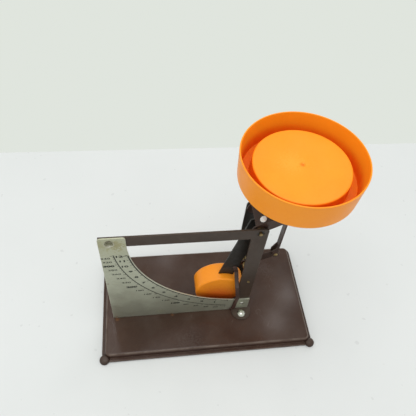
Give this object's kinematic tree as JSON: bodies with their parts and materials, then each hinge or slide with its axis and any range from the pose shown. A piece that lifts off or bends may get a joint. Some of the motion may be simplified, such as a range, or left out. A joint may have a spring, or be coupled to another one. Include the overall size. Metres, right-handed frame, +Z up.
{
  "type": "pendulum scale",
  "caption": "Small pendulum scale: a level pan on a parallel linkage swings a weighted arm whose pointer reads on an upright curved scale plate.",
  "frame": {"origin": "middle of the footprint on the table", "axes": "+Z up, +Y to the back, +X to the right, the pan's side"},
  "size_m": [0.211, 0.1168, 0.215],
  "materials": {
    "base_paint": "brown enamel, semi-gloss",
    "black_finish": "blackened steel, satin",
    "orange_plastic": "moulded orange plastic, soft gloss",
    "foot_plastic": "dark brown plastic",
    "scale_sheet": "printed aluminium sheet, matt lacquer",
    "pointer_paint": "red-brown paint",
    "brass": "turned brass, dull",
    "bright_steel": "nickel-plated",
    "core_iron": "raw"
  },
  "bodies": {
    "stand": {"base_plate": "base_paint", "corner_feet": "foot_plastic", "front_frame": "base_paint", "rear_upright": "black_finish", "frame_screws": "bright_steel", "frame_washers": "bright_steel", "frame_nuts": "bright_steel", "scale_plate": "scale_sheet", "scale_eyelet": "bright_steel", "scale_rivet": "bright_steel", "axle_bushes": "black_finish", "lower_axle": "brass", "lower_spacers": "brass"},
    "lever": {"lever_channel": "base_paint", "pendulum_arm": "black_finish", "arm_rivet": "bright_steel", "upper_axle": "brass", "thrust_washers": "brass", "pointer": "pointer_paint", "pointer_rivet": "pointer_paint", "weight_shell": "orange_plastic", "weight_cover": "orange_plastic", "weight_core": "core_iron", "weight_screw": "bright_steel", "weight_nut": "bright_steel", "upper_link_pin": "brass", "upper_spacer": "brass"},
    "carrier": {"pan_carrier": "base_paint", "pan_seat": "base_paint", "seat_rivets": "bright_steel", "lower_link_pin": "brass"},
    "guide": {"guide_link": "base_paint"},
    "pan_dish": {"pan": "orange_plastic"}
  },
  "joints": [
    {"name": "lever_pivot", "type": "hinge", "parent": "stand", "child": "lever", "pos_m": [0.0353, 0, 0.1428], "axis": [0, 1, 0], "range_deg": [0, 76]},
    {"name": "carrier_pivot", "type": "hinge", "parent": "lever", "child": "carrier", "pos_m": [0.06252, 0, 0.15721], "axis": [0, 1, 0], "range_deg": [-76, 0]},
    {"name": "guide_pivot", "type": "hinge", "parent": "stand", "child": "guide", "pos_m": [0.0363, 0, 0.0637], "axis": [0, 1, 0], "range_deg": [0, 76]},
    {"name": "pan_lift", "type": "slide", "parent": "carrier", "child": "pan_dish", "axis": [0, 0, 1], "range_m": [0, 0.04]}
  ],
  "couplings": [
    {"joint": "carrier_pivot", "follows": "lever_pivot", "ratio": -1},
    {"joint": "guide_pivot", "follows": "lever_pivot", "ratio": 1}
  ]
}
